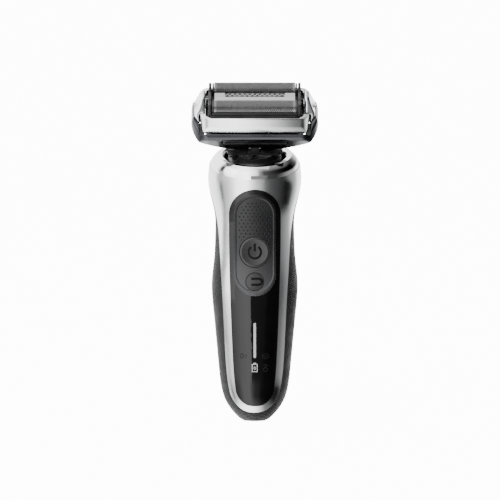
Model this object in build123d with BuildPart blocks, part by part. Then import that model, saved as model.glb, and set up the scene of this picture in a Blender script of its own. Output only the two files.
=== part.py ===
from build123d import *
from math import cos, pi, radians, sin
import os

os.makedirs("parts", exist_ok=True)

# Cordless foil shaver. Millimetres, +Z up, front faces -Y. The head leans out over the front, so
# the pieces are drawn on the handle's axis and stored moved back by SET_BACK, which puts the
# origin under the middle of the whole shaver.
SET_BACK = 4.63

# Handle: height, half width, front and back of the outer surface
STATIONS = [
    (0.0, 5.6, -4.6, 4.6),
    (2.2, 8.7, -7.6, 7.6),
    (5.0, 11.2, -9.9, 10.0),
    (9.9, 14.3, -12.4, 12.6),
    (16.0, 16.2, -14.2, 14.4),
    (26.0, 17.5, -15.3, 15.6),
    (40.0, 18.8, -16.0, 16.4),
    (54.0, 20.1, -16.2, 16.9),
    (68.0, 20.9, -16.0, 17.0),
    (79.0, 19.8, -15.6, 16.6),
    (91.0, 19.2, -15.2, 16.0),
    (101.0, 19.4, -15.3, 15.7),
    (110.0, 21.4, -16.5, 15.9),
    (118.0, 22.6, -18.6, 16.4),
    (126.0, 21.9, -20.0, 16.7),
    (136.0, 20.2, -19.6, 16.2),
]
WALL = 2.0
LINING = 3.5
FOOT_SEAM = 7.0

# Charging inlet in the foot
INLET = (10.8, 7.2)
INLET_PIN_X = 2.2
INLET_PIN_RADIUS = 0.8
INLET_SHANK_RADIUS = 0.55
INLET_FLOOR = 12.0

# Neck and head frames
NECK_CANT = 18.0
NECK_ORIGIN = (0, -2.0, 125.4)
HEAD_CANT = 25.0
PIVOT = (0, -12.2, 155.0)
neck_plane = Plane(
    origin=NECK_ORIGIN,
    x_dir=(1, 0, 0),
    z_dir=(0, -sin(radians(NECK_CANT)), cos(radians(NECK_CANT))),
)
head_plane = Plane(
    origin=PIVOT,
    x_dir=(1, 0, 0),
    z_dir=(0, -sin(radians(HEAD_CANT)), cos(radians(HEAD_CANT))),
)

# Collar
COLLAR_HEIGHT = 5.3
COLLAR_BASE = (21.6, 18.9)
COLLAR_TOP = (17.9, 15.5)
COLLAR_BORE = (14.9, 12.9)

# Controls on the front
PAD_LOW = 62.8
PAD_HIGH = 112.2
PAD_WIDTH = 20.4
POWER_Z = 84.1
POWER_DIAMETER = 14.5
LOCK_Z = 69.8
LOCK_DIAMETER = 8.4
BUTTON_GAP = 0.3
LIGHT_LOW = 32.6
LIGHT_HIGH = 49.8
LIGHT_WIDTH = 1.2
ICON_Z = 28.0

# Head
ARM_INSIDE = 26.6
CAP_INSIDE = 23.8
CAP_LOW = -1.0
EAR_RADIUS = 3.2
TRIM_WIDTH = 30.6
FRAME_HALF_WIDTH = 26.0
FRAME_HALF_DEPTH = 15.0
FRAME_INSIDE = (46.8, 27.0)
FRAME_SWING = 15.4
CRADLE_SWING = 15.8
CASSETTE = (45.0, 26.4)
FOIL_OFFSET = 8.5
FOIL_TOP = 7.3
FOIL_RADIUS = 3.3
FOIL_THICKNESS = 0.2
FOIL_HALF_LENGTH = 19.5
CUTTER_RADIUS = 2.75
CUTTER_HALF_LENGTH = 15.4
TOOTH_PITCH = 1.2
TOOTH_COUNT = 24
TOOTH_WEB = 0.32
TOOTH_SLOT = 1.9
ROLL_Z = -17.6
LEG_X = 11.6
DRIVE_PIN_TOP = -13.5


def handle_form(inset, lift):
    with BuildPart() as form:
        for height, half_width, front, back in STATIONS:
            if height > 0 or inset == 0:
                with BuildSketch(Plane.XY.offset(height + lift)):
                    with Locations((0, (front + back) / 2)):
                        Ellipse(half_width - inset, (back - front) / 2 - inset)
        loft()
    return form.part


def below_neck(drop):
    with BuildPart(neck_plane.offset(-drop)) as block:
        Box(400, 400, 200, align=(Align.CENTER, Align.CENTER, Align.MAX))
    return block.part


def save(piece, name, place=Location((0, 0, 0))):
    solid = piece.part.moved(Location((0, SET_BACK, 0)) * place)
    solid.label = name
    export_step(solid, f"parts/{name}.step")


HEAD = head_plane.location
FRONT = (0, -1, 0)

outer_form = handle_form(0, 0)
inner_form = handle_form(WALL, 0)
lining_form = handle_form(LINING, 1.5)

# ---------------------------------------------------------------- front outlines

LENS_SIDE = [
    (9.1, 15.4), (10.25, 25.8), (10.8, 36.0), (11.25, 46.1), (11.8, 61.1), (12.25, 76.0),
    (12.48, 89.5), (12.5, 102.2),
]
LENS_FOOT = [(-9.1, 15.4), (-6.9, 11.3), (-3.8, 9.0), (0, 8.4), (3.8, 9.0), (6.9, 11.3), (9.1, 15.4)]

with BuildSketch(Plane.XZ) as lens_outline:
    with BuildLine():
        Spline(*LENS_FOOT)
        Spline(*LENS_SIDE)
        Spline(*[(-x, z) for x, z in LENS_SIDE])
        ThreePointArc((12.5, 102.2), (0, 114.7), (-12.5, 102.2))
    make_face()

FRAME_SIDE = [
    (12.1, 15.2), (13.6, 25.3), (14.3, 35.3), (14.8, 45.3), (15.5, 60.2), (16.4, 75.1),
    (17.05, 87.6), (17.9, 96.6), (19.3, 104.1), (21.2, 110.6), (24.5, 117.6),
]
FRAME_FOOT = [
    (-12.1, 15.2), (-9.5, 9.8), (-5.4, 6.2), (0, 5.1), (5.4, 6.2), (9.5, 9.8), (12.1, 15.2),
]

with BuildSketch(Plane.XZ) as frame_outline:
    with BuildLine():
        Spline(*FRAME_FOOT)
        Spline(*FRAME_SIDE)
        Spline(*[(-x, z) for x, z in FRAME_SIDE])
        Polyline((24.5, 117.6), (30, 128), (30, 150), (-30, 150), (-30, 128), (-24.5, 117.6))
    make_face()

with BuildSketch(Plane.XZ) as pad_outline:
    with Locations((0, (PAD_LOW + PAD_HIGH) / 2)):
        SlotOverall(PAD_HIGH - PAD_LOW, PAD_WIDTH, rotation=90)

with BuildSketch(Plane.XZ) as power_outline:
    with Locations((0, POWER_Z)):
        Circle(POWER_DIAMETER / 2)

with BuildSketch(Plane.XZ) as lock_outline:
    with Locations((0, LOCK_Z)):
        Circle(LOCK_DIAMETER / 2)

with BuildSketch(Plane.XZ) as button_holes:
    with Locations((0, POWER_Z)):
        Circle(POWER_DIAMETER / 2 + BUTTON_GAP)
    with Locations((0, LOCK_Z)):
        Circle(LOCK_DIAMETER / 2 + BUTTON_GAP)

with BuildSketch(Plane.XZ) as light_outline:
    with Locations((0, (LIGHT_LOW + LIGHT_HIGH) / 2)):
        SlotOverall(LIGHT_HIGH - LIGHT_LOW, LIGHT_WIDTH, rotation=90)

# ---------------------------------------------------------------- handle skin

with BuildPart() as handle_body:
    add(outer_form)
    add(below_neck(0), mode=Mode.INTERSECT)


def front_piece(outline, name, *cutouts):
    with BuildPart() as piece:
        add(handle_body.part)
        extrude(outline.sketch, amount=40, dir=FRONT, mode=Mode.INTERSECT)
        for cutout in cutouts:
            extrude(cutout.sketch, amount=40, dir=FRONT, mode=Mode.SUBTRACT)
        add(inner_form, mode=Mode.SUBTRACT)
    save(piece, name)


front_piece(frame_outline, "front_shell", lens_outline)
front_piece(lens_outline, "display_lens", pad_outline, light_outline)
front_piece(pad_outline, "button_pad", button_holes)
front_piece(light_outline, "light_bar")
front_piece(power_outline, "power_button")
front_piece(lock_outline, "lock_button")

with BuildPart() as grip_body:
    add(handle_body.part)
    extrude(frame_outline.sketch, amount=40, dir=FRONT, mode=Mode.SUBTRACT)
    add(inner_form, mode=Mode.SUBTRACT)
    Box(INLET[0] + 0.1, INLET[1] + 0.1, 40, mode=Mode.SUBTRACT)

with BuildPart() as grip_shell:
    add(grip_body.part)
    with Locations((0, 0, FOOT_SEAM)):
        Box(100, 100, 100, align=(Align.CENTER, Align.CENTER, Align.MAX), mode=Mode.SUBTRACT)
save(grip_shell, "grip_shell")

with BuildPart() as foot_cap:
    add(grip_body.part)
    with Locations((0, 0, FOOT_SEAM)):
        Box(100, 100, 200, align=(Align.CENTER, Align.CENTER, Align.MIN), mode=Mode.SUBTRACT)
save(foot_cap, "foot_cap")

# ---------------------------------------------------------------- collar and neck

with BuildPart() as collar_ring:
    for height, grow in ((0, 0), (1.7, -0.55), (3.6, -1.9), (COLLAR_HEIGHT, -3.7)):
        with BuildSketch(neck_plane.offset(height)):
            Ellipse(COLLAR_BASE[0] + grow, COLLAR_BASE[1] + grow * 0.92)
    loft()
    with BuildSketch(neck_plane.offset(-1)):
        Ellipse(*COLLAR_BORE)
    extrude(amount=20, mode=Mode.SUBTRACT)
    with BuildSketch(neck_plane.offset(COLLAR_HEIGHT - 0.9)) as bevel:
        Ellipse(*COLLAR_BORE)
    with BuildSketch(neck_plane.offset(COLLAR_HEIGHT + 0.05)):
        Ellipse(COLLAR_BORE[0] + 1.0, COLLAR_BORE[1] + 1.0)
    loft(mode=Mode.SUBTRACT)
save(collar_ring, "collar_ring")

DOME_OUTSIDE = [(-3, 14.6, 12.6), (0.5, 14.5, 12.5), (3.5, 13.2, 11.2), (5.0, 11.2, 9.5), (6.0, 9.2, 8.0)]
DOME_INSIDE = [(-4, 13.3, 11.3), (0, 13.1, 11.1), (2.4, 11.9, 9.9), (3.7, 10.0, 8.3), (4.6, 8.0, 6.8)]

with BuildPart() as neck_dome:
    for height, width, depth in DOME_OUTSIDE:
        with BuildSketch(neck_plane.offset(height)):
            Ellipse(width, depth)
    loft()
    for height, width, depth in DOME_INSIDE:
        with BuildSketch(neck_plane.offset(height)):
            Ellipse(width, depth)
    loft(mode=Mode.SUBTRACT)
    with Locations(HEAD):
        with Locations((0, 0, -30)):
            Box(8.4, 5.2, 24, mode=Mode.SUBTRACT)
        with Locations((-LEG_X, 0, -28), (LEG_X, 0, -28)):
            Box(3.4, 7.4, 16, mode=Mode.SUBTRACT)
save(neck_dome, "neck_dome")

# ---------------------------------------------------------------- inside the handle

with BuildPart() as inner_frame:
    add(inner_form)
    add(lining_form, mode=Mode.SUBTRACT)
    with Locations((0, 6, 62)):
        Box(60, 24, 90, mode=Mode.INTERSECT)
save(inner_frame, "inner_frame")

with BuildPart() as battery_cell:
    with BuildSketch(Plane.XY.offset(21)):
        with Locations((0, 3)):
            Circle(7.0)
    extrude(amount=47)
    with BuildSketch(Plane.XY.offset(68)):
        with Locations((0, 3)):
            Circle(2.6)
    extrude(amount=1.2)
    fillet(battery_cell.edges().filter_by(GeomType.CIRCLE).group_by(Axis.Z)[0], 0.5)
save(battery_cell, "battery_cell")

with BuildPart() as cell_tabs:
    for height in (20.75, 69.45):
        with Locations((0, 0.2, height)):
            Box(4, 12.8, 0.5)
save(cell_tabs, "cell_tabs")

with BuildPart() as main_board:
    with BuildSketch(Plane.XZ.offset(6.2)):
        with Locations((0, 61)):
            RectangleRounded(24, 86, 3)
    extrude(amount=1.2)
    with Locations((0, -5.6, 52), (5, -5.6, 62), (-6, -5.6, 44)):
        Box(6, 1.2, 6)
save(main_board, "main_board")


def key_switch(height):
    with BuildPart() as switch:
        with Locations((0, -8.9, height)):
            Box(6, 3.0, 6)
        with BuildSketch(Plane.XZ.offset(10.4)):
            with Locations((0, height)):
                Circle(1.7)
        extrude(amount=2.0)
    return switch


save(key_switch(POWER_Z), "power_switch")
save(key_switch(LOCK_Z), "lock_switch")

with BuildPart() as status_lights:
    for height in (ICON_Z, 35, 39, 43, 47):
        with Locations((0, -7.9, height)):
            Box(1.6, 1.0, 1.6)
save(status_lights, "status_lights")

with BuildPart() as motor_core:
    with Locations((0, 3.5, 76.5)):
        Box(20, 11, 5)
    with Locations((-8, 3.5, 84), (0, 3.5, 84), (8, 3.5, 84)):
        Box(4, 11, 12)
save(motor_core, "motor_core")

with BuildPart() as motor_coil:
    with Locations((0, 3.5, 84)):
        Box(11, 16, 8.6)
        Box(4.05, 11.05, 9, mode=Mode.SUBTRACT)
    fillet(motor_coil.edges().filter_by(Axis.Z).group_by(SortBy.DISTANCE)[-1], 1.2)
save(motor_coil, "motor_coil")

with BuildPart() as motor_bracket:
    with Locations((-11.4, 3, 90), (11.4, 3, 90)):
        Box(1.4, 8, 32)
    with Locations((0, 3, 73.4)):
        Box(24.2, 8, 1.2)
save(motor_bracket, "motor_bracket")

with BuildPart() as guide_rods:
    with BuildSketch(Plane.YZ.offset(-10.7)):
        with Locations((1.0, 100), (5.4, 100)):
            Circle(0.8)
    extrude(amount=21.4)
save(guide_rods, "guide_rods")

with BuildPart() as armature:
    with Locations((0, 3.2, 98.5)):
        Box(18, 9, 8)
    with Locations((0, 7.5, 106.5)):
        Box(8, 8, 9)
    with BuildSketch(Plane.YZ.offset(-15)):
        with Locations((1.0, 100), (5.4, 100)):
            Circle(0.9)
    extrude(amount=30, mode=Mode.SUBTRACT)
    with Locations(HEAD):
        with Locations((0, 0, -60)):
            Cylinder(1.3, 45, align=(Align.CENTER, Align.CENTER, Align.MIN), mode=Mode.SUBTRACT)
save(armature, "armature")

with BuildPart() as armature_magnets:
    with Locations((-5, 3.5, 93.2), (5, 3.5, 93.2)):
        Box(8, 10, 2.4)
save(armature_magnets, "armature_magnets")

with BuildPart() as drive_pin:
    with BuildSketch(Plane.XY.offset(-51)):
        Circle(1.3)
    extrude(amount=30)
    with BuildSketch(Plane.XY.offset(-21)):
        Circle(1.0)
    extrude(amount=DRIVE_PIN_TOP + 21)
save(drive_pin, "drive_pin", HEAD)

with BuildPart() as power_inlet:
    with BuildSketch(Plane.XY):
        RectangleRounded(*INLET, 2.2)
    extrude(amount=15)
    with BuildSketch(Plane.XY.offset(-1)):
        RectangleRounded(INLET[0] - 1.8, INLET[1] - 1.8, 1.6)
    extrude(amount=INLET_FLOOR + 1, mode=Mode.SUBTRACT)
    with Locations((0, 0, 14)):
        Box(14, 9, 2)
    with Locations((-INLET_PIN_X, 0), (INLET_PIN_X, 0)):
        Cylinder(INLET_SHANK_RADIUS, 60, mode=Mode.SUBTRACT)
save(power_inlet, "power_inlet")

with BuildPart() as inlet_pins:
    with BuildSketch(Plane.XY.offset(5)):
        with Locations((-INLET_PIN_X, 0), (INLET_PIN_X, 0)):
            Circle(INLET_PIN_RADIUS)
    extrude(amount=INLET_FLOOR - 5)
    fillet(inlet_pins.edges().filter_by(GeomType.CIRCLE).group_by(Axis.Z)[0], 0.4)
    with BuildSketch(Plane.XY.offset(INLET_FLOOR)):
        with Locations((-INLET_PIN_X, 0), (INLET_PIN_X, 0)):
            Circle(INLET_SHANK_RADIUS)
    extrude(amount=5.5)
save(inlet_pins, "inlet_pins")

# ---------------------------------------------------------------- cradle, in the head's own frame

CRADLE_EDGE = [
    (24.6, 7.0), (26.0, 6.3), (26.9, 4.2), (27.7, 2.0), (28.9, -0.9), (30.0, -3.4),
    (30.6, -6.2), (30.3, -8.6), (29.2, -11.0), (26.8, -13.8), (23.4, -16.2), (19.6, -18.3),
    (14.6, -20.4), (8.0, -21.9), (0, -22.3),
]

with BuildSketch(Plane.XZ) as cradle_front:
    with BuildLine():
        Spline(*CRADLE_EDGE)
        Spline(*[(-x, z) for x, z in CRADLE_EDGE])
        Line((24.6, 7.0), (-24.6, 7.0))
    make_face()

CRADLE_SIDE = [
    (2.6, -25.0), (14.2, -11.4), (14.9, -8.8), (8.4, -3.4), (6.4, 0.4), (4.8, 4.2), (2.6, 8.6),
]

with BuildSketch(Plane.YZ) as cradle_side:
    with BuildLine():
        FilletPolyline(
            *CRADLE_SIDE, *[(-y, z) for y, z in reversed(CRADLE_SIDE)], radius=2.6, close=True
        )
    make_face()

SEAM_EDGE = [
    (31.5, 1.0), (30.2, -0.8), (28.6, -2.9), (26.6, -4.5), (24.0, -6.2), (20.0, -8.2),
    (15.0, -9.6), (8.0, -10.0), (0, -10.1),
]

with BuildSketch(Plane.XZ) as seam_outline:
    with BuildLine():
        Spline(*SEAM_EDGE)
        Spline(*[(-x, z) for x, z in SEAM_EDGE])
        Polyline((31.5, 1.0), (31.5, 20), (-31.5, 20), (-31.5, 1.0))
    make_face()

with BuildSketch(Plane.XY) as cradle_plan:
    RectangleRounded(62.0, 30.0, 11.0)

with BuildPart() as cradle_form:
    extrude(cradle_front.sketch, amount=30, both=True)
    extrude(cradle_side.sketch, amount=40, both=True, mode=Mode.INTERSECT)
    extrude(cradle_plan.sketch, amount=40, both=True, mode=Mode.INTERSECT)

with BuildPart() as cradle:
    add(cradle_form.part)
    with BuildSketch(Plane.YZ):
        Circle(CRADLE_SWING)
    extrude(amount=ARM_INSIDE, both=True, mode=Mode.SUBTRACT)
    with Locations((0, 0, 20)):
        Box(2 * ARM_INSIDE, 40, 40, mode=Mode.SUBTRACT)

with BuildPart() as arm_space:
    extrude(seam_outline.sketch, amount=30, both=True)
    Box(2 * ARM_INSIDE, 80, 80, mode=Mode.SUBTRACT)

with BuildPart() as arm_caps:
    add(cradle_form.part)
    with Locations((0, 0, 9)):
        Box(2 * ARM_INSIDE + 0.2, 40, 2 * 9 - 2 * CAP_LOW, mode=Mode.INTERSECT)
    Box(2 * CAP_INSIDE, 40, 40, mode=Mode.SUBTRACT)
    with BuildSketch(Plane.YZ):
        Circle(EAR_RADIUS + 0.9)
    extrude(amount=ARM_INSIDE, both=True, mode=Mode.SUBTRACT)

with BuildPart() as cradle_arms:
    add(cradle.part)
    add(arm_space.part, mode=Mode.INTERSECT)
    add(arm_caps.part)
    with BuildSketch(Plane.YZ):
        Circle(1.05)
    extrude(amount=29.4, both=True, mode=Mode.SUBTRACT)
save(cradle_arms, "cradle_arms", HEAD)

TRIM_DEPTH = 1.2

with BuildPart() as chin_core:
    add(cradle.part)
    with Locations((0, 0, -13.1)):
        Box(TRIM_WIDTH + 0.4, 60, 3.8, mode=Mode.INTERSECT)
    with BuildSketch(Plane.YZ) as core_side:
        offset(cradle_side.sketch, amount=-TRIM_DEPTH)
    extrude(amount=40, both=True, mode=Mode.INTERSECT)

with BuildPart() as chin_shell:
    add(cradle.part)
    add(arm_space.part, mode=Mode.SUBTRACT)
    with Locations((0, 0, -19)):
        Box(10.4, 8.4, 14, mode=Mode.SUBTRACT)
    with Locations((0, -5.4, -19.6), (0, 5.4, -19.6)):
        Box(5.6, 2.4, 8, mode=Mode.SUBTRACT)
    with BuildSketch(Plane.XZ):
        with Locations((0, ROLL_Z)):
            Circle(0.85)
    extrude(amount=7.7, both=True, mode=Mode.SUBTRACT)
    with Locations((0, 0, -13.1)):
        Box(TRIM_WIDTH + 0.4, 60, 3.8, mode=Mode.SUBTRACT)
    add(chin_core.part)
save(chin_shell, "chin_shell", HEAD)

with BuildPart() as chin_trim:
    add(cradle.part)
    with Locations((0, -20, -13.2)):
        Box(TRIM_WIDTH, 40, 3.4, mode=Mode.INTERSECT)
    with BuildSketch(Plane.YZ):
        offset(cradle_side.sketch, amount=-TRIM_DEPTH)
    extrude(amount=40, both=True, mode=Mode.SUBTRACT)
save(chin_trim, "chin_trim", HEAD)

with BuildPart() as roll_pins:
    with BuildSketch(Plane.XZ):
        with Locations((0, ROLL_Z)):
            Circle(0.85)
    extrude(amount=7.65, both=True)
    Box(60, 9.8, 60, mode=Mode.SUBTRACT)
save(roll_pins, "roll_pins", HEAD)

with BuildPart() as head_base:
    with BuildSketch(Plane.XY.offset(-24.1)):
        RectangleRounded(27, 13.6, 3)
    extrude(amount=1.2)
    with Locations((0, -5.4, -19.6), (0, 5.4, -19.6)):
        Box(4.0, 1.4, 7.0)
    with Locations((-LEG_X, 0, -23.4), (LEG_X, 0, -23.4)):
        Box(2.7, 6.7, 4, mode=Mode.SUBTRACT)
    Box(8.4, 6.4, 80, mode=Mode.SUBTRACT)
    with BuildSketch(Plane.XZ):
        with Locations((0, ROLL_Z)):
            Circle(0.9)
    extrude(amount=12, both=True, mode=Mode.SUBTRACT)
save(head_base, "head_base", HEAD)

with BuildPart() as dock_legs:
    with Locations((-LEG_X, 0, -26.2), (LEG_X, 0, -26.2)):
        Box(2.6, 6.6, 6.6)
    fillet(dock_legs.edges().filter_by(Axis.Y).group_by(Axis.Z)[0], 1.2)
save(dock_legs, "dock_legs", HEAD)

with BuildPart() as pivot_pins:
    with BuildSketch(Plane.YZ):
        Circle(1.05)
    extrude(amount=29.4, both=True)
    Box(2 * 23.6, 20, 20, mode=Mode.SUBTRACT)
save(pivot_pins, "pivot_pins", HEAD)

# ---------------------------------------------------------------- swinging frame

with BuildPart() as head_frame:
    with BuildSketch(Plane.XY.offset(-11.4)):
        RectangleRounded(2 * FRAME_HALF_WIDTH, 2 * FRAME_HALF_DEPTH, 4.0)
    extrude(amount=12.6)
    with Locations((0, 0, 8 - 4.2)):
        Box(80, 20, 16, mode=Mode.SUBTRACT)
    with BuildSketch(Plane.YZ):
        Circle(EAR_RADIUS)
        with Locations((0, -4)):
            Rectangle(2 * EAR_RADIUS, 8)
    extrude(amount=FRAME_HALF_WIDTH, both=True)
    with BuildSketch(Plane.YZ):
        Circle(FRAME_SWING)
    extrude(amount=40, both=True, mode=Mode.INTERSECT)
    with BuildSketch(Plane.XZ):
        with Locations((0, 1.6)):
            RectangleRounded(2 * FRAME_HALF_WIDTH, 26, 9.0)
    extrude(amount=40, both=True, mode=Mode.INTERSECT)
    with BuildSketch(Plane.XY.offset(-6.9)):
        RectangleRounded(*FRAME_INSIDE, 3.0)
    extrude(amount=20, mode=Mode.SUBTRACT)
    with Locations((0, 0, -10)):
        Box(22, 17, 12, mode=Mode.SUBTRACT)
    with BuildSketch(Plane.YZ):
        Circle(1.1)
    extrude(amount=40, both=True, mode=Mode.SUBTRACT)
    with Locations((-24.7, 12.0, -2.2), (24.7, 12.0, -2.2)):
        Box(6, 3.4, 3.6, mode=Mode.SUBTRACT)
save(head_frame, "head_frame", HEAD)

with BuildPart() as frame_tray:
    with BuildSketch(Plane.XY.offset(-6.9)):
        RectangleRounded(FRAME_INSIDE[0] - 0.2, FRAME_INSIDE[1] - 0.2, 2.9)
    extrude(amount=0.9)
    Box(22, 17, 30, mode=Mode.SUBTRACT)
save(frame_tray, "frame_tray", HEAD)


def release_button(side):
    with BuildPart() as button:
        with Locations((side * 24.8, 12.0, -2.2)):
            Box(2.2, 2.8, 3.0)
        fillet(button.edges().filter_by(Axis.X), 0.8)
    return button


save(release_button(-1), "release_button_left", HEAD)
save(release_button(1), "release_button_right", HEAD)

# ---------------------------------------------------------------- cassette

CASSETTE_INSIDE = 41.6
CASSETTE_END = [(12.5, 0), (12.3, 4.4), (10.6, 6.4), (6.6, 6.4), (4.9, 4.4), (3.4, 5.2)]

with BuildPart() as cassette_frame:
    with BuildSketch(Plane.XY.offset(-5.6)):
        RectangleRounded(*CASSETTE, 3.0)
    extrude(amount=7.0)
    fillet(cassette_frame.faces().sort_by(Axis.Z)[-1].outer_wire().edges(), 0.6)
    with BuildSketch(Plane.YZ.offset(-22.2)):
        with BuildLine():
            Polyline(*CASSETTE_END, *[(-y, z) for y, z in reversed(CASSETTE_END)], close=True)
        make_face()
    extrude(amount=44.4)
    with BuildSketch(Plane.XY.offset(-7)):
        RectangleRounded(CASSETTE_INSIDE, 25.0, 0.4)
    extrude(amount=14, mode=Mode.SUBTRACT)
    with Locations((0, -4.45, -1.3), (0, 4.45, -1.3)):
        Box(CASSETTE_INSIDE, 0.3, 4.6)
save(cassette_frame, "cassette_frame", HEAD)


def arch(side, radius, half_length):
    with BuildPart() as form:
        with BuildSketch(Plane.YZ):
            with Locations((side * FOIL_OFFSET, FOIL_TOP - FOIL_RADIUS)):
                Circle(radius)
            with Locations((side * FOIL_OFFSET, (FOIL_TOP - FOIL_RADIUS) / 2)):
                Rectangle(2 * radius, FOIL_TOP - FOIL_RADIUS)
        extrude(amount=half_length, both=True)
    return form.part


def foil(side):
    with BuildPart() as sheet:
        add(arch(side, FOIL_RADIUS, FOIL_HALF_LENGTH))
        add(arch(side, FOIL_RADIUS - FOIL_THICKNESS, FOIL_HALF_LENGTH + 1), mode=Mode.SUBTRACT)
    return sheet


def foil_holder(side):
    with BuildPart() as holder:
        with Locations((0, side * FOIL_OFFSET, -0.2)):
            Box(41.0, 7.6, 6.0)
            Box(39.0, 2 * FOIL_RADIUS, 8, mode=Mode.SUBTRACT)
        for end in (-1, 1):
            with Locations((end * 20.05, side * FOIL_OFFSET, 4.2)):
                Box(0.9, 6.6, 3.2)
        fillet(holder.edges().filter_by(Axis.X).group_by(Axis.Z)[-1], 0.9)
    return holder


def cutter(side):
    with BuildPart() as block:
        add(arch(side, CUTTER_RADIUS, CUTTER_HALF_LENGTH))
        with Locations((0, 0, -10)):
            Box(60, 60, 22.6, mode=Mode.SUBTRACT)
        with GridLocations(1.2, 1, 25, 1):
            with Locations((0, side * FOIL_OFFSET, 6.2)):
                Box(0.7, 8, 6, mode=Mode.SUBTRACT)
        with Locations((0, side * FOIL_OFFSET, 0)):
            Box(3.4, 2.2, 8.8, mode=Mode.SUBTRACT)
    return block


for side, place in ((-1, "front"), (1, "rear")):
    save(foil(side), f"{place}_foil", HEAD)
    save(foil_holder(side), f"{place}_foil_holder", HEAD)
    save(cutter(side), f"{place}_cutter", HEAD)

with BuildPart() as trimmer_holder:
    with Locations((0, 0, -0.2)):
        Box(41.0, 8.2, 6.0)
        Box(35.0, 5.6, 8, mode=Mode.SUBTRACT)
save(trimmer_holder, "trimmer_holder", HEAD)


def zigzag(shift):
    steps = range(TOOTH_COUNT + 1)
    low = -TOOTH_PITCH * TOOTH_COUNT / 2
    return [(low + TOOTH_PITCH * step, shift + (0.8 if step % 2 else -0.8)) for step in steps]


with BuildPart() as trimmer_guard:
    with BuildSketch(Plane.YZ):
        with BuildLine():
            FilletPolyline(
                (-3.5, 2.8), (-3.5, 4.2), (-2.1, 5.7), (2.1, 5.7), (3.5, 4.2), (3.5, 2.8),
                radius=0.6,
            )
            Line((3.5, 2.8), (-3.5, 2.8))
        make_face()
    extrude(amount=19.3, both=True)
    with Locations((0, 0, 3.5)):
        Box(33, 5.2, 3.0, mode=Mode.SUBTRACT)
    for side in (-1, 1):
        edge = zigzag(side * TOOTH_WEB)
        far = [(edge[-1][0], side * TOOTH_SLOT), (edge[0][0], side * TOOTH_SLOT)]
        with BuildSketch(Plane.XY):
            with BuildLine():
                Polyline(*edge, *far, close=True)
            make_face()
        extrude(amount=8, mode=Mode.SUBTRACT)
save(trimmer_guard, "trimmer_guard", HEAD)

with BuildPart() as trimmer_cutter:
    with Locations((0, 0, 3.7)):
        Box(26, 4.0, 1.2)
    with Locations((0, 0, 1.3)):
        Box(24, 3.0, 3.8)
    with GridLocations(1.5, 4.4, 17, 2):
        with Locations((0, 0, 3.7)):
            Box(0.7, 1.2, 2.0, mode=Mode.SUBTRACT)
    with Locations((0, 0, 1.2)):
        Box(3.4, 2.2, 3.6, mode=Mode.SUBTRACT)
save(trimmer_cutter, "trimmer_cutter", HEAD)

with BuildPart() as drive_bridge:
    with Locations((0, 0, -5.4)):
        Box(26, 20, 0.8)
    with Locations((0, -FOIL_OFFSET, -1.4), (0, FOIL_OFFSET, -1.4)):
        Box(3.2, 1.6, 7.6)
    with Locations((0, 0, -1.95)):
        Box(3.2, 1.6, 6.5)
    with Locations((-2.2, 0, -9.75), (2.2, 0, -9.75)):
        Box(1.4, 10.0, 9.3)
save(drive_bridge, "drive_bridge", HEAD)
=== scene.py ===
import bpy
import math
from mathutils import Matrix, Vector
from mathutils.bvhtree import BVHTree


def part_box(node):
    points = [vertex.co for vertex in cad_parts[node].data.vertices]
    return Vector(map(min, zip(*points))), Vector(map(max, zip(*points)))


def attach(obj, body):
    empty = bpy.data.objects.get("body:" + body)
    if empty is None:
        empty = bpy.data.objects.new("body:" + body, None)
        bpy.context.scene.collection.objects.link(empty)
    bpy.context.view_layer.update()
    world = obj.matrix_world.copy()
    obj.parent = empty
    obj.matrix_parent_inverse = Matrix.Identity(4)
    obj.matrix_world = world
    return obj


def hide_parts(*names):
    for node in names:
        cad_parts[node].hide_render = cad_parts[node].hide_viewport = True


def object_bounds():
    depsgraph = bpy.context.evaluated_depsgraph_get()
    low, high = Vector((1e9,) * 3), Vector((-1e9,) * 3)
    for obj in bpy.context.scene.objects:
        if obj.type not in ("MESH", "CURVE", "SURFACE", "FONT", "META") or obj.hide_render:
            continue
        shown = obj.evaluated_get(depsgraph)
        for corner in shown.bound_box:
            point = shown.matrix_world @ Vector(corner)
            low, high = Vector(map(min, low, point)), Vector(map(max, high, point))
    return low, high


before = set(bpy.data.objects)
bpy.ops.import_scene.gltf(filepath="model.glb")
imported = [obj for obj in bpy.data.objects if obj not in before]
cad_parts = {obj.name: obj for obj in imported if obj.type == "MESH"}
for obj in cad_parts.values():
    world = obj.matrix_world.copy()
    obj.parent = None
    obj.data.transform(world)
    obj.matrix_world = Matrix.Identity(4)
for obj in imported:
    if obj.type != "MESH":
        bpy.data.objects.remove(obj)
MM = 0.001


cad_low, cad_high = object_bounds()

# ---------------------------------------------------------------- camera

CAMERA_ELEVATION = math.radians(7.0)
LENS_MM = 400.0
FRAME_WIDTH = 0.2425
inlet_low, inlet_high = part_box("power_inlet")
HANDLE_Y = (inlet_low.y + inlet_high.y) / 2
target = Vector((-0.0023, HANDLE_Y, 0.0833))
camera_data = bpy.data.cameras.new("camera")
camera_data.lens = LENS_MM
camera_data.dof.use_dof = False
camera = bpy.data.objects.new("camera", camera_data)
bpy.context.scene.collection.objects.link(camera)
bpy.context.scene.camera = camera
back = Vector((0, -math.cos(CAMERA_ELEVATION), math.sin(CAMERA_ELEVATION)))
camera.location = target + back * (LENS_MM * FRAME_WIDTH / camera_data.sensor_width)
camera.rotation_mode = "QUATERNION"
camera.rotation_quaternion = (-back).to_track_quat("-Z", "Y")

# ---------------------------------------------------------------- material building


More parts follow.
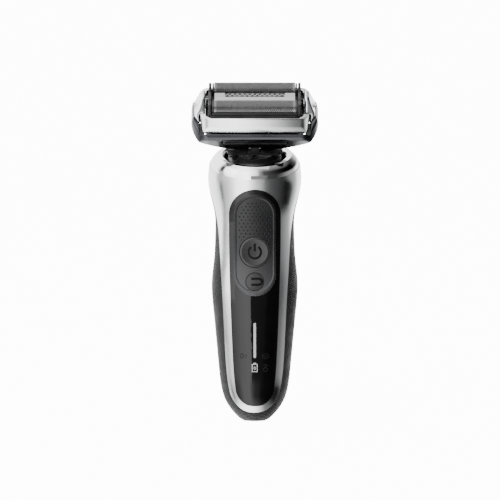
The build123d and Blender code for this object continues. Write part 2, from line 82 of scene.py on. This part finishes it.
class Nodes:
    """A small wrapper that adds nodes and joins them by value or by socket."""

    def __init__(self, tree):
        self.tree = tree

    def add(self, kind, **settings):
        node = self.tree.nodes.new(kind)
        for key, value in settings.items():
            setattr(node, key, value)
        return node

    def join(self, source, socket):
        if isinstance(source, (int, float)):
            socket.default_value = source
        else:
            self.tree.links.new(source, socket)

    def math(self, operation, first, second=0.0, third=None):
        node = self.add("ShaderNodeMath", operation=operation)
        self.join(first, node.inputs[0])
        self.join(second, node.inputs[1])
        if third is not None:
            self.join(third, node.inputs[2])
        return node.outputs[0]

    def place(self):
        """Object coordinates in millimetres, split into x, y and z."""
        where = self.add("ShaderNodeTexCoord")
        scale = self.add("ShaderNodeVectorMath", operation="SCALE")
        self.tree.links.new(where.outputs["Object"], scale.inputs[0])
        scale.inputs["Scale"].default_value = 1000.0
        split = self.add("ShaderNodeSeparateXYZ")
        self.tree.links.new(scale.outputs[0], split.inputs[0])
        return scale.outputs[0], split.outputs[0], split.outputs[1], split.outputs[2]

    def noise(self, vector, scale, detail=3.0, stretch=None):
        if stretch is not None:
            mapped = self.add("ShaderNodeVectorMath", operation="MULTIPLY")
            self.tree.links.new(vector, mapped.inputs[0])
            mapped.inputs[1].default_value = stretch
            vector = mapped.outputs[0]
        node = self.add("ShaderNodeTexNoise")
        self.tree.links.new(vector, node.inputs["Vector"])
        node.inputs["Scale"].default_value = scale
        node.inputs["Detail"].default_value = detail
        return node.outputs[0]

    def range(self, value, low, high, out_low, out_high):
        node = self.add("ShaderNodeMapRange")
        node.interpolation_type = "SMOOTHSTEP"
        self.join(value, node.inputs[0])
        node.inputs[1].default_value = low
        node.inputs[2].default_value = high
        node.inputs[3].default_value = out_low
        node.inputs[4].default_value = out_high
        return node.outputs[0]

    def mix(self, factor, first, second):
        node = self.add("ShaderNodeMix", data_type="RGBA")
        self.join(factor, node.inputs[0])
        for value, socket in ((first, node.inputs[6]), (second, node.inputs[7])):
            if isinstance(value, tuple):
                socket.default_value = value
            else:
                self.tree.links.new(value, socket)
        return node.outputs[2]

    def capsule(self, x, z, low, high, radius):
        """Distance outside an upright stadium that runs from low to high."""
        held = self.add("ShaderNodeClamp")
        self.join(z, held.inputs[0])
        held.inputs[1].default_value = low + radius
        held.inputs[2].default_value = high - radius
        up = self.math("SUBTRACT", z, held.outputs[0])
        squares = self.math("ADD", self.math("MULTIPLY", x, x), self.math("MULTIPLY", up, up))
        return self.math("SUBTRACT", self.math("SQRT", squares), radius)

    def dots(self, x, z, pitch_x, pitch_z):
        """Distance to the nearest point of a staggered grid."""
        nearest = None
        for shift in (0.0, 0.5):
            across = self.math("ADD", self.math("DIVIDE", x, pitch_x), shift)
            along = self.math("ADD", self.math("DIVIDE", z, pitch_z), shift)
            across = self.math("SUBTRACT", self.math("FRACT", across), 0.5)
            along = self.math("SUBTRACT", self.math("FRACT", along), 0.5)
            across = self.math("MULTIPLY", across, pitch_x)
            along = self.math("MULTIPLY", along, pitch_z)
            total = self.math(
                "ADD", self.math("MULTIPLY", across, across), self.math("MULTIPLY", along, along)
            )
            reach = self.math("SQRT", total)
            nearest = reach if nearest is None else self.math("MINIMUM", nearest, reach)
        return nearest


def rgba(value):
    if isinstance(value, (int, float)):
        return (value, value, value, 1.0)
    return (*value, 1.0)


def surface(
    name, color, rough, metal=0.0, coat=0.0, spread=0.06, grain=0.02, grain_scale=3.0,
    stretch=None, wear=0.0, specular=0.5, build=None,
):
    """A principled material with uneven roughness, fine grain and slight edge wear."""
    made = bpy.data.materials.new(name)
    made.use_nodes = True
    made.node_tree.nodes.clear()
    kit = Nodes(made.node_tree)
    shader = kit.add("ShaderNodeBsdfPrincipled")
    output = kit.add("ShaderNodeOutputMaterial")
    made.node_tree.links.new(shader.outputs[0], output.inputs[0])
    vector, x, y, z = kit.place()
    broad = kit.noise(vector, 0.11, 4.0)
    fine = kit.noise(vector, grain_scale, 2.0, stretch)
    uneven = kit.range(broad, 0.3, 0.7, -spread, spread)
    roughness = kit.math("ADD", rough, uneven)
    base = kit.mix(kit.range(broad, 0.35, 0.65, 0.0, 0.35), rgba(color), tuple(
        [min(1.0, c * 1.12 + 0.002) for c in rgba(color)[:3]] + [1.0]
    ))
    if wear:
        edges = kit.add("ShaderNodeNewGeometry").outputs["Pointiness"]
        worn = kit.math("MULTIPLY", kit.range(edges, 0.52, 0.6, 0.0, wear), broad)
        base = kit.mix(worn, base, (0.5, 0.5, 0.52, 1.0))
    height = kit.math("MULTIPLY", fine, grain)
    if build is not None:
        extra = build(kit, vector, x, y, z, base, roughness)
        height = kit.math("ADD", height, extra.get("height", 0.0))
        base = extra.get("base", base)
        roughness = extra.get("rough", roughness)
    bump = kit.add("ShaderNodeBump")
    bump.inputs["Strength"].default_value = 1.0
    bump.inputs["Distance"].default_value = MM
    kit.join(height, bump.inputs["Height"])
    kit.join(base, shader.inputs["Base Color"])
    kit.join(roughness, shader.inputs["Roughness"])
    made.node_tree.links.new(bump.outputs[0], shader.inputs["Normal"])
    shader.inputs["Metallic"].default_value = metal
    shader.inputs["Coat Weight"].default_value = coat
    shader.inputs["Coat Roughness"].default_value = 0.04
    shader.inputs["Specular IOR Level"].default_value = specular
    return made


PAD_LOW, PAD_HIGH = (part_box("button_pad")[0].z / MM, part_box("button_pad")[1].z / MM)
power_low, power_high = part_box("power_button")
POWER_Z = (power_low.z + power_high.z) / 2 / MM
POWER_RADIUS = (power_high.z - power_low.z) / 2 / MM
lock_low, lock_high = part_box("lock_button")
LOCK_Z = (lock_low.z + lock_high.z) / 2 / MM
collar_low, collar_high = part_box("collar_ring")


def grip_ribs(kit, vector, x, y, z, base, roughness):
    """Fine ribs that lean round the handle."""
    round_back = kit.math("ABSOLUTE", kit.math("SUBTRACT", y, HANDLE_Y / MM))
    lean = kit.math("MULTIPLY", round_back, 0.22)
    wave = kit.math("FRACT", kit.math("DIVIDE", kit.math("ADD", z, lean), 1.05))
    ridge = kit.math("ABSOLUTE", kit.math("SUBTRACT", wave, 0.5))
    rib = kit.range(ridge, 0.12, 0.4, 0.0, 1.0)
    beads = kit.math("FRACT", kit.math("DIVIDE", kit.math("ADD", y, kit.math("MULTIPLY", z, 0.6)), 1.6))
    bead = kit.range(kit.math("ABSOLUTE", kit.math("SUBTRACT", beads, 0.5)), 0.3, 0.46, 0.0, 1.0)
    upper = kit.range(z, 92.0, 100.0, 0.0, 1.0)
    pattern = kit.math("SUBTRACT", kit.math("MULTIPLY", rib, 0.5), kit.math("MULTIPLY", bead, 0.1))
    plain = kit.math("SUBTRACT", 1.0, upper)
    # Painted shade: the rubber is painted darker where the rib mask is full and lighter between, standing in for
    # the shade of the ribbing.
    painted_rib_shade = kit.mix(rib, (0.016, 0.016, 0.017, 1.0), (0.002, 0.002, 0.002, 1.0))
    return {
        "height": kit.math("MULTIPLY", pattern, kit.math("ADD", kit.math("MULTIPLY", plain, 0.75), 0.25)),
        "base": painted_rib_shade,
    }


def pad_dimples(kit, vector, x, y, z, base, roughness):
    """A thumb hollow with staggered dimples, and a raised lip round the pad."""
    hollow = kit.capsule(x, z, PAD_LOW + 2.2, PAD_HIGH - 1.3, 9.1)
    inside = kit.range(hollow, -0.5, 0.4, 0.0, 1.0)
    rim = kit.capsule(x, z, PAD_LOW, PAD_HIGH, (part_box("button_pad")[1].x / MM))
    lip = kit.range(rim, -0.9, 0.0, 0.0, -0.5)
    dot = kit.dots(x, kit.math("SUBTRACT", z, 0.6), 2.1, 3.3)
    hole = kit.range(dot, 0.22, 0.5, 1.0, 0.0)
    above = kit.range(z, POWER_Z + 5.0, POWER_Z + 6.0, 0.0, 1.0)
    clear = kit.range(
        kit.capsule(x, z, POWER_Z - POWER_RADIUS - 1.0, POWER_Z + POWER_RADIUS + 1.0, POWER_RADIUS + 1.0),
        -0.1, 0.3, 0.0, 1.0,
    )
    within = kit.range(hollow, -1.8, -1.4, 1.0, 0.0)
    holes = kit.math("MULTIPLY", kit.math("MULTIPLY", hole, above), kit.math("MULTIPLY", within, clear))
    height = kit.math("ADD", kit.math("MULTIPLY", inside, 0.45), lip)
    # Painted shade and light: the dimples are painted darker, as shade in the hollows, and the pad is painted
    # lighter towards its bottom, as light falling there.
    return {
        "height": kit.math("SUBTRACT", height, kit.math("MULTIPLY", holes, 0.3)),
        "base": kit.mix(holes, kit.mix(kit.range(z, PAD_LOW, PAD_HIGH - 20, 1.0, 0.0), (0.014, 0.014, 0.015, 1.0), (0.05, 0.05, 0.052, 1.0)), (0.008, 0.008, 0.009, 1.0)),
    }


def foil_holes(kit, vector, x, y, z, base, roughness):
    """Rows of small staggered perforations."""
    along = kit.math("ADD", kit.math("MULTIPLY", z, 1.0), kit.math("MULTIPLY", y, 0.9))
    dot = kit.dots(x, along, 1.0, 1.3)
    hole = kit.range(dot, 0.26, 0.34, 1.0, 0.0)
    ends = kit.range(kit.math("ABSOLUTE", x), 18.2, 18.5, 1.0, 0.0)
    holes = kit.math("MULTIPLY", hole, ends)
    # Painted shade: the perforations are painted dark, standing in for the shade seen through the holes.
    return {
        "height": kit.math("MULTIPLY", holes, -0.08),
        "base": kit.mix(holes, base, (0.02, 0.02, 0.02, 1.0)),
    }


def crown(kit, vector, x, y, z, base, roughness):
    """The face is very slightly rounded from side to side."""
    return {"height": kit.math("MULTIPLY", kit.math("MULTIPLY", x, x), -1 / 140)}


def button_dish(kit, vector, x, y, z, base, roughness):
    """A shallow dish with a soft raised rim."""
    up = kit.math("SUBTRACT", z, POWER_Z)
    reach = kit.math("SQRT", kit.math("ADD", kit.math("MULTIPLY", x, x), kit.math("MULTIPLY", up, up)))
    rim = kit.range(reach, POWER_RADIUS - 1.0, POWER_RADIUS, 0.0, -0.5)
    dish = kit.math("MULTIPLY", kit.math("MULTIPLY", reach, reach), 0.036)
    return {"height": kit.math("ADD", rim, dish)}


chrome = surface("polished_chrome", 0.82, 0.05, metal=1.0, spread=0.02, grain=0.0015, wear=0.15)
satin = surface(
    "satin_chrome", (0.72, 0.725, 0.735), 0.16, metal=1.0, spread=0.05, grain=0.004,
    grain_scale=9.0, stretch=(1.0, 1.0, 0.2), wear=0.2,
)
silver = surface(
    "satin_silver", (0.7, 0.705, 0.715), 0.24, metal=1.0, spread=0.05, grain=0.005,
    grain_scale=9.0, stretch=(0.2, 1.0, 1.0), wear=0.2, build=crown,
)
graphite = surface(
    "graphite", (0.05, 0.051, 0.055), 0.3, metal=1.0, spread=0.06, grain=0.004, wear=0.1
)
graphite_panel = surface(
    "graphite_panel", (0.1, 0.101, 0.107), 0.34, metal=1.0, spread=0.06, grain=0.004, wear=0.1
)
lens_black = surface("lens_black", 0.002, 0.03, spread=0.012, grain=0.0004, specular=0.28)
rubber = surface(
    "grip_rubber", 0.008, 0.5, spread=0.08, grain=0.03, grain_scale=5.0, specular=0.15, build=grip_ribs
)
pad = surface(
    "pad_rubber", 0.03, 0.42, spread=0.06, grain=0.012, grain_scale=6.0, specular=0.2,
    build=pad_dimples,
)
key = surface(
    "key_plastic", 0.022, 0.34, spread=0.05, grain=0.008, grain_scale=6.0, specular=0.25,
    build=button_dish,
)
key_plain = surface(
    "key_plain", 0.026, 0.34, spread=0.05, grain=0.008, grain_scale=6.0, specular=0.25
)
dark = surface(
    "dark_plastic", 0.006, 0.36, spread=0.08, grain=0.012, grain_scale=5.0, wear=0.03, specular=0.3
)
dome = surface("dome_plastic", 0.006, 0.24, spread=0.04, grain=0.006, grain_scale=5.0, specular=0.5)
grey = surface(
    "grey_plastic", 0.045, 0.38, spread=0.08, grain=0.012, grain_scale=5.0, wear=0.1, specular=0.35
)
light_grey = surface("light_grey_plastic", 0.3, 0.3, spread=0.08, grain=0.008, grain_scale=5.0)
foil_steel = surface("foil_steel", 0.16, 0.25, metal=1.0, spread=0.06, grain=0.004, build=foil_holes)
steel = surface("ground_steel", 0.68, 0.22, metal=1.0, spread=0.06, grain=0.006, stretch=(1.0, 0.2, 1.0))
# Painted shade: the trimmer guard gets a darker copy of the ground steel, standing in for the shade between the
# trimmer and the front foil.
shaded_guard_steel = surface("shaded_guard_steel", 0.42, 0.26, metal=1.0, spread=0.06, grain=0.006, stretch=(1.0, 0.2, 1.0))
copper = surface("copper_wire", (0.72, 0.3, 0.14), 0.3, metal=1.0, grain=0.05, stretch=(0.2, 0.2, 8.0))
green = surface("solder_mask", (0.01, 0.11, 0.05), 0.3, coat=0.4, grain=0.01)
sleeve = surface("cell_sleeve", (0.03, 0.16, 0.1), 0.3, coat=0.5, grain=0.004)
white = surface("white_plastic", 0.68, 0.4, grain=0.01)
glow = surface("light_guide", 0.4, 0.25, spread=0.03, grain=0.002)
ink_dark = surface("ink_dark", 0.001, 0.5, spread=0.05, grain=0.002, specular=0.1)
ink_grey = surface("ink_grey", 0.012, 0.5, spread=0.05, grain=0.002, specular=0.1)
ink_light = surface("ink_light", 0.35, 0.5, spread=0.05, grain=0.002)

finishes = {
    "front_shell": satin, "grip_shell": rubber, "foot_cap": rubber, "display_lens": lens_black, "button_pad": pad,
    "light_bar": glow, "power_button": key, "lock_button": key_plain, "collar_ring": chrome,
    "neck_dome": dome, "inner_frame": dark, "battery_cell": sleeve, "cell_tabs": steel,
    "main_board": green, "power_switch": dark, "lock_switch": dark, "status_lights": glow,
    "motor_core": steel, "motor_coil": copper, "motor_bracket": steel, "guide_rods": steel,
    "armature": steel, "armature_magnets": chrome, "drive_pin": steel, "power_inlet": dark,
    "inlet_pins": steel, "cradle_arms": satin, "chin_shell": graphite, "chin_trim": graphite_panel,
    "roll_pins": steel, "head_base": dark, "dock_legs": light_grey, "pivot_pins": steel, "head_frame": silver,
    "frame_tray": dark, "release_button_left": grey, "release_button_right": grey,
    "cassette_frame": dark, "front_foil": foil_steel, "rear_foil": foil_steel,
    "front_foil_holder": dark, "rear_foil_holder": dark, "front_cutter": steel,
    "rear_cutter": steel, "trimmer_holder": dark, "trimmer_guard": shaded_guard_steel,
    "trimmer_cutter": steel, "drive_bridge": white,
}
for node, finish in finishes.items():
    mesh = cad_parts[node].data
    mesh.materials.clear()
    mesh.materials.append(finish)

# ---------------------------------------------------------------- rounded castings


def rounded(name, node, body, voxel, rounds):
    """A casting with its creases blended away, in place of the plain solid."""
    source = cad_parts[node]
    made = bpy.data.objects.new(name, source.data.copy())
    bpy.context.scene.collection.objects.link(made)
    made.matrix_world = source.matrix_world.copy()
    remesh = made.modifiers.new("remesh", "REMESH")
    remesh.mode = "VOXEL"
    remesh.voxel_size = voxel * MM
    soften = made.modifiers.new("soften", "SMOOTH")
    soften.factor = 0.5
    soften.iterations = rounds
    evaluated = made.evaluated_get(bpy.context.evaluated_depsgraph_get())
    mesh = bpy.data.meshes.new_from_object(evaluated)
    mesh.materials.clear()
    mesh.materials.append(finishes[node])
    for face in mesh.polygons:
        face.use_smooth = True
    made.modifiers.clear()
    made.data = mesh
    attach(made, body)
    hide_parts(node)
    return made


rounded("round_arms", "cradle_arms", "cradle", 0.3, 60)
rounded("round_chin", "chin_shell", "cradle", 0.3, 24)
rounded("round_frame", "head_frame", "swing_frame", 0.25, 10)
rounded("round_cassette", "cassette_frame", "cassette", 0.2, 6)

HEAD_LEAN = math.radians(25.0)
pivot_low, pivot_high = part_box("pivot_pins")
PIVOT = (pivot_low + pivot_high) / 2
FRAME_SHADE_PLATE = ((23.4, 25.8), (-2.0, 2.0), (-10.6, -7.2))
CRADLE_SHADE_PLATE = ((24.3, 27.4), (-2.5, 2.5), (-15.4, -11.5))


def shade_plate(name, side, ranges, body):
    """A dark plate in a lower corner of the head, in the head's own lean: painted shade that fills a see-through
    gap.
    """
    across, deep, tall = ranges
    points = []
    for x in across:
        for y in deep:
            for z in tall:
                points.append((
                    PIVOT.x + side * x * MM,
                    PIVOT.y + (y * math.cos(HEAD_LEAN) - z * math.sin(HEAD_LEAN)) * MM,
                    PIVOT.z + (z * math.cos(HEAD_LEAN) + y * math.sin(HEAD_LEAN)) * MM,
                ))
    mesh = bpy.data.meshes.new(name)
    mesh.from_pydata(points, [], [
        (0, 1, 3, 2), (4, 6, 7, 5), (0, 4, 5, 1), (2, 3, 7, 6), (0, 2, 6, 4), (1, 5, 7, 3),
    ])
    mesh.materials.append(dark)
    made = bpy.data.objects.new(name, mesh)
    bpy.context.scene.collection.objects.link(made)
    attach(made, body)


# Dark plates that stand in for shade in the lower corners of the head.
shade_plate("frame_shade_plate_left", -1, FRAME_SHADE_PLATE, "swing_frame")
shade_plate("frame_shade_plate_right", 1, FRAME_SHADE_PLATE, "swing_frame")
shade_plate("cradle_shade_plate_left", -1, CRADLE_SHADE_PLATE, "cradle")
shade_plate("cradle_shade_plate_right", 1, CRADLE_SHADE_PLATE, "cradle")

# ---------------------------------------------------------------- printed marks


def surface_at(node):
    """Finds the front surface of a node under a point of the front view."""
    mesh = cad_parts[node].data
    tree = BVHTree.FromPolygons([v.co for v in mesh.vertices], [tuple(p.vertices) for p in mesh.polygons])

    def find(x, z):
        hit = tree.ray_cast(Vector((x * MM, -0.06, z * MM)), Vector((0, 1, 0)))
        return None if hit[0] is None else hit[0].y
    return find


def mark(name, node, body, outlines, material, lift=0.03):
    """Flat print: strips given as lists of (x, z) quads, laid on a node's front."""
    find = surface_at(node)
    points = []
    faces = []
    for quad in outlines:
        start = len(points)
        for x, z in quad:
            y = find(x, z)
            if y is None:
                y = find(x * 0.98, z)
            points.append((x * MM, y - lift * MM, z * MM))
        faces.append(tuple(range(start, start + len(quad))))
    mesh = bpy.data.meshes.new(name)
    mesh.from_pydata(points, [], faces)
    mesh.materials.append(material)
    made = bpy.data.objects.new(name, mesh)
    bpy.context.scene.collection.objects.link(made)
    thick = made.modifiers.new("thick", "SOLIDIFY")
    thick.thickness = 0.02 * MM
    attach(made, body)
    return made


def arc_strip(x, z, radius, width, start, end, steps=40, tall=1.0):
    """A round line, measured in degrees clockwise from the top."""
    quads = []
    for step in range(steps):
        first = math.radians(start + (end - start) * step / steps)
        second = math.radians(start + (end - start) * (step + 1) / steps)
        inner, outer = radius - width / 2, radius + width / 2
        quads.append([
            (x + inner * math.sin(first), z + tall * inner * math.cos(first)),
            (x + outer * math.sin(first), z + tall * outer * math.cos(first)),
            (x + outer * math.sin(second), z + tall * outer * math.cos(second)),
            (x + inner * math.sin(second), z + tall * inner * math.cos(second)),
        ])
    return quads


def bar(x, z, width, height, cell=0.4):
    """A straight bar, cut small so that it follows the surface."""
    across = max(1, math.ceil(width / cell))
    along = max(1, math.ceil(height / cell))
    step_x, step_z = width / across, height / along
    quads = []
    for i in range(across):
        for j in range(along):
            left = x - width / 2 + i * step_x
            low = z - height / 2 + j * step_z
            quads.append([
                (left, low), (left + step_x, low), (left + step_x, low + step_z), (left, low + step_z),
            ])
    return quads


mark(
    "power_mark", "power_button", "power_key",
    arc_strip(0, POWER_Z, 3.0, 0.95, 34, 326) + bar(0, POWER_Z + 2.3, 1.0, 3.8), ink_dark,
)
mark(
    "lock_mark", "lock_button", "lock_key",
    arc_strip(2.0, LOCK_Z, 1.45, 1.05, 0, 180, 24)
    + bar(0.15, LOCK_Z + 1.45, 3.7, 1.05) + bar(0.15, LOCK_Z - 1.45, 3.7, 1.05), ink_dark,
)
ICON_Z = 27.7
mark(
    "battery_mark", "display_lens", "handle",
    bar(-1.2, ICON_Z, 0.42, 4.0) + bar(1.2, ICON_Z, 0.42, 4.0) + bar(0, ICON_Z - 1.8, 2.0, 0.42)
    + bar(0, ICON_Z + 1.8, 2.0, 0.42) + bar(0, ICON_Z + 2.3, 1.2, 0.6)
    + arc_strip(0, ICON_Z - 0.1, 0.42, 0.3, 0, 360, 20, 1.5), ink_light,
)
mark(
    "clean_mark", "display_lens", "handle",
    arc_strip(5.2, 33.5, 1.6, 0.35, 0, 360, 30, 0.7) + bar(5.2, 33.5, 1.4, 0.35), ink_grey,
)
mark(
    "wash_mark", "display_lens", "handle",
    arc_strip(5.2, 26.8, 1.0, 0.35, 0, 360, 24, 0.9) + arc_strip(5.2, 28.7, 0.7, 0.3, 0, 360, 20),
    ink_grey,
)
mark(
    "plug_mark", "display_lens", "handle",
    arc_strip(-6.2, 33.5, 0.7, 0.35, 0, 360, 20, 1.5) + bar(-4.4, 33.9, 1.6, 0.35)
    + bar(-4.4, 32.9, 1.0, 0.35),
    ink_grey,
)

# ---------------------------------------------------------------- floor, backdrop and light

SWEEP_FRONT = -0.7
SWEEP_BEND = 0.7
SWEEP_RADIUS = 0.6
SWEEP_TOP = 2.4
SWEEP_SIDE = 3.0


def sweep_profile():
    """Floor, bend and back wall as (y, z) points."""
    profile = [(SWEEP_FRONT, 0.0)]
    for step in range(25):
        angle = math.radians(90 * step / 24)
        profile.append((
            SWEEP_BEND + SWEEP_RADIUS * math.sin(angle), SWEEP_RADIUS * (1 - math.cos(angle)),
        ))
    profile.append((SWEEP_BEND + SWEEP_RADIUS, SWEEP_TOP))
    return profile


def sweep_material():
    """White paper that is lit well past the object, as in a light tent."""
    made = bpy.data.materials.new("sweep_paper")
    made.use_nodes = True
    shader = made.node_tree.nodes["Principled BSDF"]
    shader.inputs["Base Color"].default_value = (0.9, 0.9, 0.9, 1.0)
    shader.inputs["Roughness"].default_value = 0.95
    shader.inputs["Specular IOR Level"].default_value = 0.0
    shader.inputs["Emission Color"].default_value = (1.0, 1.0, 1.0, 1.0)
    shader.inputs["Emission Strength"].default_value = 12.0
    return made


profile = sweep_profile()
floor_mesh = bpy.data.meshes.new("floor")
points = [(side, y, z) for y, z in profile for side in (-SWEEP_SIDE, SWEEP_SIDE)]
strips = [(2 * i, 2 * i + 1, 2 * i + 3, 2 * i + 2) for i in range(len(profile) - 1)]
floor_mesh.from_pydata(points, [], strips)
floor_mesh.materials.append(sweep_material())
for face in floor_mesh.polygons:
    face.use_smooth = True
floor = bpy.data.objects.new("floor", floor_mesh)
bpy.context.scene.collection.objects.link(floor)
floor.location.z = cad_low.z - 0.0002
floor.visible_glossy = False
floor.visible_diffuse = False


WORLD_STRENGTH = 5.0

# Brightness round the object, as (degrees from the front, towards +X, and a share of full)
LEVEL = [
    (-180, 0.8), (-103, 0.7), (-92, 0.17), (-83, 0.17), (-75, 0.3), (-59, 0.5), (-38, 0.85),
    (-17, 1.0), (-8.7, 0.9), (-8.3, 0.08), (22, 0.05), (30, 0.015), (50, 0.01), (66, 0.03),
    (83, 0.075), (95, 0.1), (108, 0.14), (130, 0.6), (180, 0.8),
]
BELOW = [
    (-180, 0.8), (-148, 0.8), (-103, 0.6), (-90, 0.3), (-85, 0.06), (-80, 0.06), (-75, 0.2),
    (-65, 0.24), (-51, 0.45), (-38, 0.9), (-17, 1.0), (-7, 0.45), (2, 0.2), (12, 0.15), (22, 0.045),
    (33, 0.026), (45, 0.018), (57, 0.012), (73, 0.003), (84, 0.004), (95, 0.02), (122, 0.25), (150, 0.7),
    (180, 0.8),
]
ABOVE = [
    (-180, 0.8), (-100, 0.7), (-88, 0.02), (-80, 0.02), (-76, 0.4), (-40, 0.9), (-17, 1.0),
    (-4, 0.6), (3, 0.4), (10, 0.09), (20, 0.02), (32, 0.013), (46, 0.006), (60, 0.002), (80, 0.0),
    (105, 0.0), (122, 0.015), (134, 0.05), (150, 0.2), (180, 0.6),
]


def ring(kit, turn, stops):
    """Brightness by angle round the object, straight between the stops."""
    total = None
    value = stops[0][1]
    for (start, low), (end, high) in zip(stops, stops[1:]):
        node = kit.add("ShaderNodeMapRange")
        node.interpolation_type = "LINEAR"
        kit.join(turn, node.inputs[0])
        node.inputs[1].default_value = start
        node.inputs[2].default_value = end
        node.inputs[3].default_value = 0.0
        node.inputs[4].default_value = high - low
        total = node.outputs[0] if total is None else kit.math("ADD", total, node.outputs[0])
    return kit.math("ADD", total, value)


def blend(kit, factor, first, second):
    change = kit.math("SUBTRACT", second, first)
    return kit.math("ADD", first, kit.math("MULTIPLY", factor, change))


def build_world():
    """A white light tent, open towards the right and the front."""
    world = bpy.data.worlds.new("studio")
    bpy.context.scene.world = world
    world.use_nodes = True
    world.node_tree.nodes.clear()
    kit = Nodes(world.node_tree)
    output = kit.add("ShaderNodeOutputWorld")
    background = kit.add("ShaderNodeBackground")
    world.node_tree.links.new(background.outputs[0], output.inputs[0])
    where = kit.add("ShaderNodeTexCoord")
    split = kit.add("ShaderNodeSeparateXYZ")
    world.node_tree.links.new(where.outputs["Generated"], split.inputs[0])
    x, y, z = split.outputs[0], split.outputs[1], split.outputs[2]
    turn = kit.math("MULTIPLY", kit.math("ARCTAN2", x, kit.math("MULTIPLY", y, -1.0)), 180 / math.pi)
    level = ring(kit, turn, LEVEL)
    level = blend(kit, kit.range(z, -0.24, -0.42, 0.0, 1.0), level, ring(kit, turn, BELOW))
    level = blend(kit, kit.range(z, 0.1, 0.32, 0.0, 1.0), level, ring(kit, turn, ABOVE))
    underneath = kit.range(x, -0.2, 0.5, 0.9, 0.06)
    level = blend(kit, kit.range(z, -0.6, -0.9, 0.0, 1.0), level, underneath)
    overhead = kit.range(x, -0.4, 0.5, 0.5, 0.12)
    level = blend(kit, kit.range(z, 0.55, 0.9, 0.0, 1.0), level, overhead)
    painted_rib_shade = kit.add("ShaderNodeCombineColor")
    for socket in painted_rib_shade.inputs[:3]:
        kit.join(level, socket)
    world.node_tree.links.new(painted_rib_shade.outputs[0], background.inputs["Color"])
    background.inputs["Strength"].default_value = WORLD_STRENGTH


build_world()


def lamp(name, place, aim, width, height, power):
    data = bpy.data.lights.new(name, "AREA")
    data.shape = "RECTANGLE"
    data.size = width
    data.size_y = height
    data.energy = power
    made = bpy.data.objects.new(name, data)
    bpy.context.scene.collection.objects.link(made)
    made.location = place
    made.rotation_mode = "QUATERNION"
    made.rotation_quaternion = (Vector(aim) - Vector(place)).to_track_quat("-Z", "Y")
    return made


lamp("left_box", (-0.75, -0.45, 0.35), (0, 0, 0.09), 0.5, 0.9, 2.0)
lamp("top_box", (0.0, -0.2, 0.9), (0, 0, 0.1), 0.8, 0.8, 1.5)
